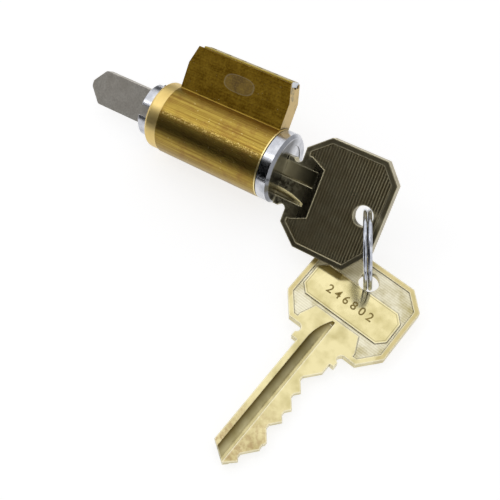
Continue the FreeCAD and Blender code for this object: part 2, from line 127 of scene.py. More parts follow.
def metalShader(tree, look, colour, roughness, height):
    # Edges catch the light over a small radius, and the height gives the tool marks their depth. Inner
    # corners are painted darker, for dirt and painted shade, and outer edges are painted paler, for wear and
    # a painted highlight, where an edge colour is given.
    look = {**metalLook, **look}
    rounded = add(tree, "ShaderNodeBevel", {"samples": look["bevelSamples"], "Radius": look["edge"] * mm})
    bump = add(tree, "ShaderNodeBump", {"Strength": 1.0, "Distance": look["depth"] * mm},
               {"Height": height, "Normal": rounded})
    # Painted highlight: outer edges found by inward ambient occlusion are painted paler, for wear and the
    # light they catch.
    if look["wearAndHighlight"]:
        inner = add(tree, "ShaderNodeAmbientOcclusion",
                    {"samples": look["cornerSamples"], "inside": True, "only_local": True,
                     "Distance": look["edge"] * look["edgeReach"] * mm})
        rubbedAndLit = add(tree, "ShaderNodeMapRange", look["edgeRange"], {"Value": inner.outputs["AO"]})
        colour = add(tree, "ShaderNodeMix", {"data_type": "RGBA", 7: linear(look["wearAndHighlight"])},
                     {0: rubbedAndLit, 6: colour}).outputs[2]
    # Painted shade: the colour is darkened where ambient occlusion finds an inner corner, for dirt and the
    # shade that falls there.
    outer = add(tree, "ShaderNodeAmbientOcclusion",
                {"samples": look["cornerSamples"], "only_local": True, "Distance": look["cornerReach"] * mm})
    dirtAndShade = add(tree, "ShaderNodeMapRange", look["cornerRange"], {"Value": outer.outputs["AO"]})
    colour = add(tree, "ShaderNodeMix", {"data_type": "RGBA", 7: linear(look["grimeAndShade"])},
                 {0: dirtAndShade, 6: colour}).outputs[2]
    shader = add(tree, "ShaderNodeBsdfPrincipled", {"Metallic": 1.0},
                 {"Base Color": colour, "Roughness": roughness, "Normal": bump})
    add(tree, "ShaderNodeOutputMaterial", {}, {"Surface": shader})


def dress(name, material):
    nodes[name].data.materials.clear()
    nodes[name].data.materials.append(material)


# Shell: cartridge brass, drawn to its section, so fine lines run along its length and the bands of light on
# it are a little ragged. The fin's sides are darker and duller, its milled ends pale, and one side has a
# water mark. Real drawing lines are finer than the picture can show, so these are a few tenths of a
# millimetre wide.
shellLook = {
    "barrel": "#ab9143", "streak": "#84672a", "patch": "#80592f", "speck": "#f0dc9c",
    "side": "#a3832a", "sideDark": "#70530f", "end": "#cdb582", "endSmear": "#958a70", "top": "#b8a07c",
    "lineSize": (30.0, 0.42, 0.42), "fineSize": (30.0, 0.20, 0.20), "patchSize": 2.6, "speckSize": 0.45,
    "finFoot": 7.5, "finTop": 17.35,
    "sideFacing": {"From Min": 0.80, "From Max": 0.95}, "endFacing": {"From Min": 0.75, "From Max": 0.90},
    "fineShare": 0.8, "streakRange": {"From Min": 0.80, "From Max": 1.12},
    "patchRange": {"From Min": 0.48, "From Max": 0.75, "To Max": 0.7},
    "sideSpecks": 0.9, "sideLines": 0.9, "sideRange": {"From Min": 1.12, "From Max": 1.62},
    "smearRange": {"From Min": 0.50, "From Max": 0.62},
    "speckRange": {"From Min": 0.71, "From Max": 0.75, "To Max": 0.8},
    "paintedGlint": "#e3c778", "glintAngle": 0.24, "glintSize": 0.30,
    "glintRange": {"From Min": 0.52, "From Max": 0.60},
    "bandRange": {"From Max": 0.09, "To Min": 1.0, "To Max": 0.0},
    "rim": "#f6e2a4", "rimStart": 27.62,
    "mark": "#c3b89c", "markCentre": (15.0, 13.0), "markHalf": (3.6, 1.8), "markPower": 2.6,
    "markRagged": 0.12, "markOutline": 1.06, "markFacing": -0.95,
    "outlineRange": {"From Max": 0.07, "To Min": 0.45, "To Max": 0.0},
    "insideRange": {"From Min": 1.0, "From Max": 1.04, "To Min": 0.13, "To Max": 0.0},
    "roughRange": {"From Min": 0.25, "From Max": 0.75, "To Min": 0.29, "To Max": 0.40},
    "sideDuller": 0.20, "endDuller": 0.18, "speckHeight": 2.0, "depth": 0.012, "edge": 0.08,
}


def drawnBrass(look):
    material, tree = newMaterial("drawn cartridge brass")
    point, place, facing = localPlace(tree, layout["lockTurn"])
    along = add(tree, "ShaderNodeMapping", {"Scale": [1 / size for size in look["lineSize"]]}, {0: point})
    wide = add(tree, "ShaderNodeTexNoise", {"Scale": 1.0, "Detail": 4.0, "Roughness": 0.6}, {"Vector": along})
    thin = add(tree, "ShaderNodeMapping", {"Scale": [1 / size for size in look["fineSize"]]}, {0: point})
    lines = add(tree, "ShaderNodeTexNoise", {"Scale": 1.0, "Detail": 3.0}, {"Vector": thin})
    patches = add(tree, "ShaderNodeTexNoise",
                  {"Scale": 1 / look["patchSize"], "Detail": 5.0, "Roughness": 0.65}, {"Vector": point})
    specks = add(tree, "ShaderNodeTexNoise", {"Scale": 1 / look["speckSize"], "Detail": 2.0},
                 {"Vector": point})
    # Where each finish lies: the fin's sides, its ends and its top, and otherwise the barrel.
    onFin = add(tree, "ShaderNodeMath", {"operation": "GREATER_THAN", 1: look["finFoot"]}, {0: place["Z"]})
    side = add(tree, "ShaderNodeMath", {"operation": "ABSOLUTE"}, {0: facing["Y"]})
    side = add(tree, "ShaderNodeMapRange", look["sideFacing"], {"Value": side})
    side = add(tree, "ShaderNodeMath", {"operation": "MULTIPLY"}, {0: onFin, 1: side})
    end = add(tree, "ShaderNodeMath", {"operation": "ABSOLUTE"}, {0: facing["X"]})
    end = add(tree, "ShaderNodeMapRange", look["endFacing"], {"Value": end})
    end = add(tree, "ShaderNodeMath", {"operation": "MULTIPLY"}, {0: onFin, 1: end})
    onTop = add(tree, "ShaderNodeMath", {"operation": "GREATER_THAN", 1: look["finTop"]}, {0: place["Z"]})
    top = add(tree, "ShaderNodeMapRange", look["sideFacing"], {"Value": facing["Z"]})
    top = add(tree, "ShaderNodeMath", {"operation": "MULTIPLY"}, {0: onTop, 1: top})
    # Barrel: streaks along it and brown patches.
    streaks = add(tree, "ShaderNodeMath", {"operation": "MULTIPLY_ADD", 1: look["fineShare"]},
                  {0: lines, 2: wide})
    streaks = add(tree, "ShaderNodeMapRange", look["streakRange"], {"Value": streaks})
    colour = add(tree, "ShaderNodeMix",
                 {"data_type": "RGBA", 6: linear(look["barrel"]), 7: linear(look["streak"])},
                 {0: streaks}).outputs[2]
    brown = add(tree, "ShaderNodeMapRange", look["patchRange"], {"Value": patches})
    colour = add(tree, "ShaderNodeMix", {"data_type": "RGBA", 7: linear(look["patch"])},
                 {0: brown, 6: colour}).outputs[2]
    # Fin sides: the same brass with a thicker tarnish, in faint patches, short lines and grain.
    tarnish = add(tree, "ShaderNodeMath", {"operation": "MULTIPLY_ADD", 1: look["sideSpecks"]},
                  {0: specks, 2: patches})
    tarnish = add(tree, "ShaderNodeMath", {"operation": "MULTIPLY_ADD", 1: look["sideLines"]},
                  {0: wide, 2: tarnish})
    tarnish = add(tree, "ShaderNodeMapRange", look["sideRange"], {"Value": tarnish})
    tarnish = add(tree, "ShaderNodeMix",
                  {"data_type": "RGBA", 6: linear(look["side"]), 7: linear(look["sideDark"])},
                  {0: tarnish}).outputs[2]
    colour = add(tree, "ShaderNodeMix", {"data_type": "RGBA"}, {0: side, 6: colour, 7: tarnish}).outputs[2]
    # Fin ends: pale from the mill, with a grey smear.
    milled = add(tree, "ShaderNodeMapRange", look["smearRange"], {"Value": patches})
    milled = add(tree, "ShaderNodeMix",
                 {"data_type": "RGBA", 6: linear(look["end"]), 7: linear(look["endSmear"])},
                 {0: milled}).outputs[2]
    colour = add(tree, "ShaderNodeMix", {"data_type": "RGBA"}, {0: end, 6: colour, 7: milled}).outputs[2]
    # Bright specks all over, and painted glints in a narrow band along the barrel's near side, at the edge of
    # its band of light.
    bright = add(tree, "ShaderNodeMapRange", look["speckRange"], {"Value": specks})
    band = add(tree, "ShaderNodeMath", {"operation": "ARCTAN2"}, {0: place["Z"], 1: place["Y"]})
    band = add(tree, "ShaderNodeMath", {"operation": "SUBTRACT", 1: math.pi - look["glintAngle"]}, {0: band})
    band = add(tree, "ShaderNodeMath", {"operation": "ABSOLUTE"}, {0: band})
    band = add(tree, "ShaderNodeMapRange", look["bandRange"], {"Value": band})
    glints = add(tree, "ShaderNodeTexNoise", {"Scale": 1 / look["glintSize"], "Detail": 2.0},
                 {"Vector": point})
    glints = add(tree, "ShaderNodeMapRange", look["glintRange"], {"Value": glints})
    glints = add(tree, "ShaderNodeMath", {"operation": "MULTIPLY"}, {0: glints, 1: band})
    # The front edge is painted bright, a painted highlight along its lip.
    atRim = add(tree, "ShaderNodeMath", {"operation": "GREATER_THAN", 1: look["rimStart"]}, {0: place["X"]})
    # The water mark: a rounded outline with a slightly pale middle, on the near side only.
    reach = []
    for axis, centre, half in zip("XZ", look["markCentre"], look["markHalf"]):
        part = add(tree, "ShaderNodeMath", {"operation": "SUBTRACT", 1: centre}, {0: place[axis]})
        part = add(tree, "ShaderNodeMath", {"operation": "DIVIDE", 1: half}, {0: part})
        part = add(tree, "ShaderNodeMath", {"operation": "ABSOLUTE"}, {0: part})
        reach.append(add(tree, "ShaderNodeMath", {"operation": "POWER", 1: look["markPower"]}, {0: part}))
    reach = add(tree, "ShaderNodeMath", {"operation": "ADD"}, {0: reach[0], 1: reach[1]})
    reach = add(tree, "ShaderNodeMath", {"operation": "POWER", 1: 1 / look["markPower"]}, {0: reach})
    reach = add(tree, "ShaderNodeMath", {"operation": "MULTIPLY_ADD", 1: look["markRagged"]},
                {0: patches, 2: reach})
    outline = add(tree, "ShaderNodeMath", {"operation": "SUBTRACT", 1: look["markOutline"]}, {0: reach})
    outline = add(tree, "ShaderNodeMath", {"operation": "ABSOLUTE"}, {0: outline})
    outline = add(tree, "ShaderNodeMapRange", look["outlineRange"], {"Value": outline})
    inside = add(tree, "ShaderNodeMapRange", look["insideRange"], {"Value": reach})
    mark = add(tree, "ShaderNodeMath", {"operation": "ADD"}, {0: outline, 1: inside})
    near = add(tree, "ShaderNodeMath", {"operation": "LESS_THAN", 1: look["markFacing"]}, {0: facing["Y"]})
    mark = add(tree, "ShaderNodeMath", {"operation": "MULTIPLY"}, {0: mark, 1: near})
    for share, paint in ((top, "top"), (bright, "speck"), (glints, "paintedGlint"), (atRim, "rim"), (mark, "mark")):
        colour = add(tree, "ShaderNodeMix", {"data_type": "RGBA", 7: linear(look[paint])},
                     {0: share, 6: colour}).outputs[2]
    # The barrel is satin, and the fin's rolled sides and milled ends are duller.
    rough = add(tree, "ShaderNodeMapRange", look["roughRange"], {"Value": wide})
    rough = add(tree, "ShaderNodeMath", {"operation": "MULTIPLY_ADD", 1: look["sideDuller"]},
                {0: side, 2: rough})
    rough = add(tree, "ShaderNodeMath", {"operation": "MULTIPLY_ADD", 1: look["endDuller"]},
                {0: end, 2: rough})
    height = add(tree, "ShaderNodeMath", {"operation": "MULTIPLY_ADD", 1: look["speckHeight"]},
                 {0: specks, 2: lines})
    metalShader(tree, look, colour, rough, height)
    return material


# Rear collar: brass turned on a lathe and left satin, paler than the shell, with fine lines round its axis.
collarLook = {
    "brass": "#eed48e", "shade": "#dcc077", "lineSize": (0.05, 3.0, 3.0), "patchSize": 3.5,
    "toneRange": {"From Min": 0.3, "From Max": 0.7},
    "roughRange": {"From Min": 0.2, "From Max": 0.8, "To Min": 0.35, "To Max": 0.46},
    "depth": 0.004, "edge": 0.12,
}


def turnedBrass(look):
    material, tree = newMaterial("turned satin brass")
    point = localPlace(tree, layout["lockTurn"])[0]
    around = add(tree, "ShaderNodeMapping", {"Scale": [1 / size for size in look["lineSize"]]}, {0: point})
    lines = add(tree, "ShaderNodeTexNoise", {"Scale": 1.0, "Detail": 3.0}, {"Vector": around})
    patches = add(tree, "ShaderNodeTexNoise", {"Scale": 1 / look["patchSize"], "Detail": 4.0},
                  {"Vector": point})
    tone = add(tree, "ShaderNodeMapRange", look["toneRange"], {"Value": patches})
    colour = add(tree, "ShaderNodeMix",
                 {"data_type": "RGBA", 6: linear(look["brass"]), 7: linear(look["shade"])},
                 {0: tone}).outputs[2]
    rough = add(tree, "ShaderNodeMapRange", look["roughRange"], {"Value": lines})
    metalShader(tree, look, colour, rough, lines)
    return material


# Cover over the pin chambers: rolled brass strip, olive with age, bright where it is staked over each pin,
# with its sheared front end left bright as well. Its rolling lines are drawn wider than real ones.
coverLook = {
    "strip": "#b09a47", "shade": "#8f7c33", "dot": "#fbf1cf", "end": "#cdd1d6", "lineSize": (8.0, 0.15, 0.15),
    "dotRange": {"From Min": 0.42, "From Max": 0.62, "To Min": 1.0, "To Max": 0.0},
    "toneRange": {"From Min": 0.3, "From Max": 0.7}, "endFacing": {"From Min": 0.6, "From Max": 0.9},
    "roughRange": {"From Min": 0.2, "From Max": 0.8, "To Min": 0.30, "To Max": 0.45},
    "depth": 0.005, "edge": 0.05,
}


def rolledBrass(look):
    material, tree = newMaterial("rolled brass strip")
    point, place, facing = localPlace(tree, layout["lockTurn"])
    halfPitch = layout["pinPitch"] / 2
    fromPin = add(tree, "ShaderNodeMath", {"operation": "SUBTRACT", 1: layout["firstPin"] - halfPitch},
                  {0: place["X"]})
    fromPin = add(tree, "ShaderNodeMath", {"operation": "FLOORED_MODULO", 1: layout["pinPitch"]},
                  {0: fromPin})
    fromPin = add(tree, "ShaderNodeMath", {"operation": "SUBTRACT", 1: halfPitch}, {0: fromPin})
    flat = add(tree, "ShaderNodeCombineXYZ", {}, {0: fromPin, 1: place["Y"]})
    reach = add(tree, "ShaderNodeVectorMath", {"operation": "LENGTH"}, {0: flat}).outputs["Value"]
    dot = add(tree, "ShaderNodeMapRange", look["dotRange"], {"Value": reach})
    thin = add(tree, "ShaderNodeMapping", {"Scale": [1 / size for size in look["lineSize"]]}, {0: point})
    lines = add(tree, "ShaderNodeTexNoise", {"Scale": 1.0, "Detail": 3.0}, {"Vector": thin})
    tone = add(tree, "ShaderNodeMapRange", look["toneRange"], {"Value": lines})
    colour = add(tree, "ShaderNodeMix",
                 {"data_type": "RGBA", 6: linear(look["strip"]), 7: linear(look["shade"])},
                 {0: tone}).outputs[2]
    front = add(tree, "ShaderNodeMapRange", look["endFacing"], {"Value": facing["X"]})
    for share, paint in ((dot, "dot"), (front, "end")):
        colour = add(tree, "ShaderNodeMix", {"data_type": "RGBA", 7: linear(look[paint])},
                     {0: share, 6: colour}).outputs[2]
    rough = add(tree, "ShaderNodeMapRange", look["roughRange"], {"Value": lines})
    metalShader(tree, look, colour, rough, lines)
    return material


# Plug: brass turned on a lathe and nickel plated, so it is bright and cool, with fine rings round its axis
# and across its face, and painted shade in the gap where the flange meets the shell. The rings are drawn
# coarser than real turning marks, so that they show.
plugLook = {
    "bright": "#d8d9de", "shade": "#b3b5bc", "ring": "#85878e", "paintedShade": "#17150f", "bevel": "#6c6e74",
    "ringWidth": 0.11, "smearSize": 2.4, "toneRange": {"From Min": 0.35, "From Max": 0.65},
    "ringRange": {"From Min": 0.55, "From Max": 0.80, "To Max": 0.45}, "gapStart": 27.8, "gapEnd": 28.13,
    "nearHalfRange": {"From Min": 1.0, "From Max": -2.0, "To Max": 0.8},
    "faceRange": {"From Min": 7.4, "From Max": 6.8}, "bevelSlack": 0.1, "frontFacing": 0.9,
    "roughRange": {"From Min": 0.2, "From Max": 0.8, "To Min": 0.12, "To Max": 0.27},
    "depth": 0.006, "edge": 0.10,
}


def platedPlug(look):
    material, tree = newMaterial("nickel plate on turned brass")
    point, place, facing = localPlace(tree, layout["lockTurn"])
    flat = add(tree, "ShaderNodeCombineXYZ", {}, {1: place["Y"], 2: place["Z"]})
    radius = add(tree, "ShaderNodeVectorMath", {"operation": "LENGTH"}, {0: flat}).outputs["Value"]
    turned = add(tree, "ShaderNodeCombineXYZ", {}, {0: place["X"], 1: radius})
    rings = add(tree, "ShaderNodeTexNoise", {"Scale": 1 / look["ringWidth"], "Detail": 3.0},
                {"Vector": turned})
    smear = add(tree, "ShaderNodeTexNoise", {"Scale": 1 / look["smearSize"], "Detail": 5.0},
                {"Vector": point})
    tone = add(tree, "ShaderNodeMapRange", look["toneRange"], {"Value": smear})
    colour = add(tree, "ShaderNodeMix",
                 {"data_type": "RGBA", 6: linear(look["bright"]), 7: linear(look["shade"])},
                 {0: tone}).outputs[2]
    dark = add(tree, "ShaderNodeMapRange", look["ringRange"], {"Value": rings})
    # Painted shade in the gap between the flange and the shell.
    behind = add(tree, "ShaderNodeMath", {"operation": "LESS_THAN", 1: look["gapEnd"]}, {0: place["X"]})
    ahead = add(tree, "ShaderNodeMath", {"operation": "GREATER_THAN", 1: look["gapStart"]}, {0: place["X"]})
    gap = add(tree, "ShaderNodeMath", {"operation": "MULTIPLY"}, {0: behind, 1: ahead})
    # The near half of the face and the bevel round it are painted darker: painted shade beside the key.
    nearHalf = add(tree, "ShaderNodeMapRange", look["nearHalfRange"], {"Value": place["Y"]})
    bevel = add(tree, "ShaderNodeMath", {"operation": "COMPARE", 1: diagonal, 2: look["bevelSlack"]},
                {0: facing["X"]})
    shadedBevel = add(tree, "ShaderNodeMath", {"operation": "MULTIPLY"}, {0: nearHalf, 1: bevel})
    onFace = add(tree, "ShaderNodeMapRange", look["faceRange"], {"Value": radius})
    front = add(tree, "ShaderNodeMath", {"operation": "GREATER_THAN", 1: look["frontFacing"]},
                {0: facing["X"]})
    shadedFace = add(tree, "ShaderNodeMath", {"operation": "MULTIPLY"}, {0: nearHalf, 1: onFace})
    shadedFace = add(tree, "ShaderNodeMath", {"operation": "MULTIPLY"}, {0: shadedFace, 1: front})
    for share, paint in ((dark, "ring"), (gap, "paintedShade"), (shadedBevel, "bevel"), (shadedFace, "paintedShade")):
        colour = add(tree, "ShaderNodeMix", {"data_type": "RGBA", 7: linear(look[paint])},
                     {0: share, 6: colour}).outputs[2]
    rough = add(tree, "ShaderNodeMapRange", look["roughRange"], {"Value": smear})
    metalShader(tree, look, colour, rough, rings)
    return material


# Tailpiece: stamped steel, tumbled, so it is matte grey with a fine mottled grain and softened edges.
tailLook = {
    "steel": "#b3aea5", "light": "#d8d4cc", "stain": "#958f86", "grain": 0.45, "patchSize": 2.4,
    "toneRange": {"From Min": 0.3, "From Max": 0.7},
    "stainRange": {"From Min": 0.4, "From Max": 0.65, "To Max": 0.5},
    "roughRange": {"From Min": 0.2, "From Max": 0.8, "To Min": 0.46, "To Max": 0.60},
    "depth": 0.012, "edge": 0.15,
}


def tumbledSteel(look):
    material, tree = newMaterial("tumbled stamped steel")
    point = localPlace(tree, layout["lockTurn"])[0]
    fine = add(tree, "ShaderNodeTexNoise", {"Scale": 1 / look["grain"], "Detail": 5.0, "Roughness": 0.7},
               {"Vector": point})
    patches = add(tree, "ShaderNodeTexNoise", {"Scale": 1 / look["patchSize"], "Detail": 4.0},
                  {"Vector": point})
    tone = add(tree, "ShaderNodeMapRange", look["toneRange"], {"Value": fine})
    colour = add(tree, "ShaderNodeMix",
                 {"data_type": "RGBA", 6: linear(look["steel"]), 7: linear(look["light"])},
                 {0: tone}).outputs[2]
    stain = add(tree, "ShaderNodeMapRange", look["stainRange"], {"Value": patches})
    colour = add(tree, "ShaderNodeMix", {"data_type": "RGBA", 7: linear(look["stain"])},
                 {0: stain, 6: colour}).outputs[2]
    rough = add(tree, "ShaderNodeMapRange", look["roughRange"], {"Value": patches})
    metalShader(tree, look, colour, rough, fine)
    return material


# Keys: nickel silver, blanked, coined and cut. The die leaves ribs in the sunk field and smooth rims and
# plates, and a painted shadow runs along each coined step. The inserted key is older and browner than the
# spare. The real ribs are about 0.42 mm apart, and rolling lines are finer still. Both are drawn coarser, so
# that they show.
keyLook = {
    "faceFacing": 0.97, "fieldTop": 0.95, "fieldFloor": 0.78, "fieldStart": 3.2,
    "plateCentre": 13.5, "plateHalf": (4.2, 10.7), "plateCorner": 1.75, "plateInset": 0.45,
    "stepRange": {"From Min": 0.04, "From Max": 0.16, "To Min": 0.75, "To Max": 0.0},
    "insetRange": {"From Min": 0.04, "From Max": 0.16, "To Min": 0.45, "To Max": 0.0},
    "neckEnd": 8.5, "neckHalf": 7.1, "rimRange": {"From Min": 10.9, "From Max": 11.1}, "rimStart": 10.0,
    "crossShare": 0.20, "ribTone": 0.25, "scratchSize": (6.0, 0.20, 0.20), "scratchHeight": 0.08,
    "stainSize": 3.0, "stainRange": {"From Min": 0.42, "From Max": 0.75, "To Max": 0.8}, "stainDuller": 0.12,
    "grooveTop": 1.035, "grooveFacing": 0.25, "deepFloor": 0.5,
    "deepRange": {"From Min": 1.0, "From Max": 0.35, "To Min": 1.0, "To Max": 0.25},
    "paintedShade": "#120f09", "dust": "#8a8670", "mouthRough": 0.50, "spotSize": 0.9,
    "mouthRange": {"From Min": 7.0, "From Max": 2.0}, "deepShadeRange": {"From Min": 2.5, "From Max": 6.5},
    "bladeFadeRange": {"From Min": -4.0, "From Max": -1.0, "To Min": 0.2},
    "dustRange": {"From Min": 0.44, "From Max": 0.62},
    "tarnish": "#a08660", "tipRange": {"From Min": -11.0, "From Max": -24.0, "To Max": 0.80},
    "spotRange": {"From Min": 0.42, "From Max": 0.62, "To Min": 0.25},
    "grainSize": 0.4, "edge": 0.26, "cornerReach": 0.28,
}
insertedLook = {
    **keyLook, "name": "coined nickel silver",
    "metal": "#a59b7c", "field": "#9c9274", "rim": "#a89e80", "stain": "#7d7255", "stepShadow": "#14120c",
    "wearAndHighlight": "#e9e0bb", "grimeAndShade": "#0d0b07", "grooveReflection": "#fff3bd",
    "rimRough": 0.25, "neckRough": 0.16, "grooveRough": 0.52, "plateRough": 0.22, "fieldRough": 0.24,
    "ribPitch": 0.62, "depth": 0.042, "grain": 0.6, "mouthShade": 0.85,
}
spareLook = {
    **keyLook, "name": "coined nickel silver, pale",
    "metal": "#dacf9f", "field": "#ebe6d0", "rim": "#c8b987", "stain": "#b5a974", "stepShadow": "#6b5f3c",
    "wearAndHighlight": "#f2ebcf", "grimeAndShade": "#4a3f22", "grooveReflection": "#5c4b1a",
    "rimRough": 0.26, "neckRough": 0.24, "grooveRough": 0.24, "plateRough": 0.10, "fieldRough": 0.40,
    "ribPitch": 0.52, "depth": 0.006, "grain": 6.0, "mouthShade": 0.0,
}


def coinedNickelSilver(look, turn, shoulder):
    material, tree = newMaterial(look["name"])
    point, place, facing = localPlace(tree, turn, shoulder)
    across = add(tree, "ShaderNodeMath", {"operation": "ABSOLUTE"}, {0: place["Y"]})
    sideways = add(tree, "ShaderNodeMath", {"operation": "ABSOLUTE"}, {0: place["Z"]})
    square = add(tree, "ShaderNodeMath", {"operation": "ABSOLUTE"}, {0: facing["Y"]})
    upperSide = add(tree, "ShaderNodeMath", {"operation": "GREATER_THAN", 1: 0.0}, {0: place["Y"]})
    # The bow's sunk field lies under the rim, and is not as deep as the grooves.
    onFace = add(tree, "ShaderNodeMath", {"operation": "GREATER_THAN", 1: look["faceFacing"]}, {0: square})
    sunk = add(tree, "ShaderNodeMath", {"operation": "LESS_THAN", 1: look["fieldTop"]}, {0: across})
    shallow = add(tree, "ShaderNodeMath", {"operation": "GREATER_THAN", 1: look["fieldFloor"]}, {0: across})
    inBow = add(tree, "ShaderNodeMath", {"operation": "GREATER_THAN", 1: look["fieldStart"]}, {0: place["X"]})
    field = onFace
    for part in (sunk, shallow, inBow):
        field = add(tree, "ShaderNodeMath", {"operation": "MULTIPLY"}, {0: field, 1: part})
    # Distance out from the raised plate's edge, whose corners are cut off.
    outX = add(tree, "ShaderNodeMath", {"operation": "SUBTRACT", 1: look["plateCentre"]}, {0: place["X"]})
    outX = add(tree, "ShaderNodeMath", {"operation": "ABSOLUTE"}, {0: outX})
    outX = add(tree, "ShaderNodeMath", {"operation": "SUBTRACT", 1: look["plateHalf"][0]}, {0: outX})
    outZ = add(tree, "ShaderNodeMath", {"operation": "SUBTRACT", 1: look["plateHalf"][1]}, {0: sideways})
    outCorner = add(tree, "ShaderNodeMath", {"operation": "ADD"}, {0: outX, 1: outZ})
    outCorner = add(tree, "ShaderNodeMath", {"operation": "ADD", 1: look["plateCorner"]}, {0: outCorner})
    outCorner = add(tree, "ShaderNodeMath", {"operation": "MULTIPLY", 1: diagonal}, {0: outCorner})
    outside = add(tree, "ShaderNodeMath", {"operation": "MAXIMUM"}, {0: outX, 1: outZ})
    outside = add(tree, "ShaderNodeMath", {"operation": "MAXIMUM"}, {0: outside, 1: outCorner})
    plate = add(tree, "ShaderNodeMath", {"operation": "LESS_THAN", 1: 0.0}, {0: outside})
    plate = add(tree, "ShaderNodeMath", {"operation": "MULTIPLY"}, {0: plate, 1: upperSide})
    # A painted shadow along the plate's edge, and a fainter one inside it.
    stepShade = add(tree, "ShaderNodeMath", {"operation": "ABSOLUTE"}, {0: outside})
    stepShade = add(tree, "ShaderNodeMapRange", look["stepRange"], {"Value": stepShade})
    inset = add(tree, "ShaderNodeMath", {"operation": "ADD", 1: look["plateInset"]}, {0: outside})
    inset = add(tree, "ShaderNodeMath", {"operation": "ABSOLUTE"}, {0: inset})
    inset = add(tree, "ShaderNodeMapRange", look["insetRange"], {"Value": inset})
    stepShade = add(tree, "ShaderNodeMath", {"operation": "MAXIMUM"}, {0: stepShade, 1: inset})
    for part in (upperSide, onFace):
        stepShade = add(tree, "ShaderNodeMath", {"operation": "MULTIPLY"}, {0: stepShade, 1: part})
    # The blade and the neck, as far as the grooves run into the bow.
    neck = add(tree, "ShaderNodeMath", {"operation": "LESS_THAN", 1: look["neckEnd"]}, {0: place["X"]})
    narrow = add(tree, "ShaderNodeMath", {"operation": "LESS_THAN", 1: look["neckHalf"]}, {0: sideways})
    neck = add(tree, "ShaderNodeMath", {"operation": "MULTIPLY"}, {0: neck, 1: narrow})
    # Ribs lie across the key, with a weaker set along it. At a scale of 1 a wave repeats every tenth of pi.
    ribScale = math.pi / 10 / look["ribPitch"]
    ribs = add(tree, "ShaderNodeTexWave", {"bands_direction": "X", "Scale": ribScale}, {"Vector": point})
    cross = add(tree, "ShaderNodeTexWave", {"bands_direction": "Z", "Scale": ribScale}, {"Vector": point})
    weave = add(tree, "ShaderNodeMath", {"operation": "MULTIPLY_ADD", 1: look["crossShare"]},
                {0: cross, 2: ribs})
    weave = add(tree, "ShaderNodeMath", {"operation": "MULTIPLY"}, {0: weave, 1: field})
    thin = add(tree, "ShaderNodeMapping", {"Scale": [1 / size for size in look["scratchSize"]]}, {0: point})
    lines = add(tree, "ShaderNodeTexNoise", {"Scale": 1.0, "Detail": 3.0}, {"Vector": thin})
    stains = add(tree, "ShaderNodeTexNoise", {"Scale": 1 / look["stainSize"], "Detail": 5.0},
                 {"Vector": point})
    tone = add(tree, "ShaderNodeMapRange", look["stainRange"], {"Value": stains})
    tone = add(tree, "ShaderNodeMath", {"operation": "MULTIPLY_ADD", 1: look["ribTone"], "use_clamp": True},
               {0: weave, 2: tone})
    # The smooth rim runs round the bow, outside the field and the plate.
    rim = add(tree, "ShaderNodeMapRange", look["rimRange"], {"Value": sideways})
    pastNeck = add(tree, "ShaderNodeMath", {"operation": "GREATER_THAN", 1: look["rimStart"]},
                   {0: place["X"]})
    offPlate = add(tree, "ShaderNodeMath", {"operation": "SUBTRACT", "use_clamp": True},
                   {0: pastNeck, 1: plate})
    rim = add(tree, "ShaderNodeMath", {"operation": "MAXIMUM"}, {0: rim, 1: offPlate})
    # The milled grooves get a painted reflection, strongest where they start and fading towards their floor:
    # a painted highlight on the inserted key, and dark brown on the spare, for its dark reflection and its
    # tarnish.
    deep = add(tree, "ShaderNodeMapRange", look["deepRange"], {"Value": across})
    facingUp = add(tree, "ShaderNodeMath", {"operation": "GREATER_THAN", 1: look["grooveFacing"]},
                   {0: square})
    milled = add(tree, "ShaderNodeMath", {"operation": "LESS_THAN", 1: look["grooveTop"]}, {0: across})
    for part in (neck, facingUp):
        milled = add(tree, "ShaderNodeMath", {"operation": "MULTIPLY"}, {0: milled, 1: part})
    milled = add(tree, "ShaderNodeMath", {"operation": "SUBTRACT", "use_clamp": True}, {0: milled, 1: field})
    milled = add(tree, "ShaderNodeMath", {"operation": "MULTIPLY"}, {0: milled, 1: deep})
    colour = add(tree, "ShaderNodeMix",
                 {"data_type": "RGBA", 6: linear(look["metal"]), 7: linear(look["rim"])},
                 {0: rim}).outputs[2]
    for share, paint in ((field, "field"), (tone, "stain"), (stepShade, "stepShadow"), (milled, "grooveReflection")):
        colour = add(tree, "ShaderNodeMix", {"data_type": "RGBA", 7: linear(look[paint])},
                     {0: share, 6: colour}).outputs[2]
    # The neck of the key that is in the plug is painted near black next to the plug's mouth, a painted shade,
    # with grey dust in spots. Along the blade inside the keyway it fades to a fifth.
    blots = add(tree, "ShaderNodeTexNoise", {"Scale": 1 / look["spotSize"], "Detail": 4.0, "Roughness": 0.7},
                {"Vector": point})
    mouth = add(tree, "ShaderNodeMapRange", {**look["mouthRange"], "To Max": look["mouthShade"]},
                {"Value": place["X"]})
    flush = add(tree, "ShaderNodeMath", {"operation": "GREATER_THAN", 1: look["grooveTop"]}, {0: across})
    bladeFade = add(tree, "ShaderNodeMapRange", look["bladeFadeRange"], {"Value": place["X"]})
    for part in (flush, bladeFade):
        mouth = add(tree, "ShaderNodeMath", {"operation": "MULTIPLY"}, {0: mouth, 1: part})
    dusty = add(tree, "ShaderNodeMapRange", look["dustRange"], {"Value": blots})
    shadeAndDust = add(tree, "ShaderNodeMix", {"data_type": "RGBA", 6: linear(look["paintedShade"]), 7: linear(look["dust"])},
                {0: dusty}).outputs[2]
    colour = add(tree, "ShaderNodeMix", {"data_type": "RGBA"}, {0: mouth, 6: colour, 7: shadeAndDust}).outputs[2]
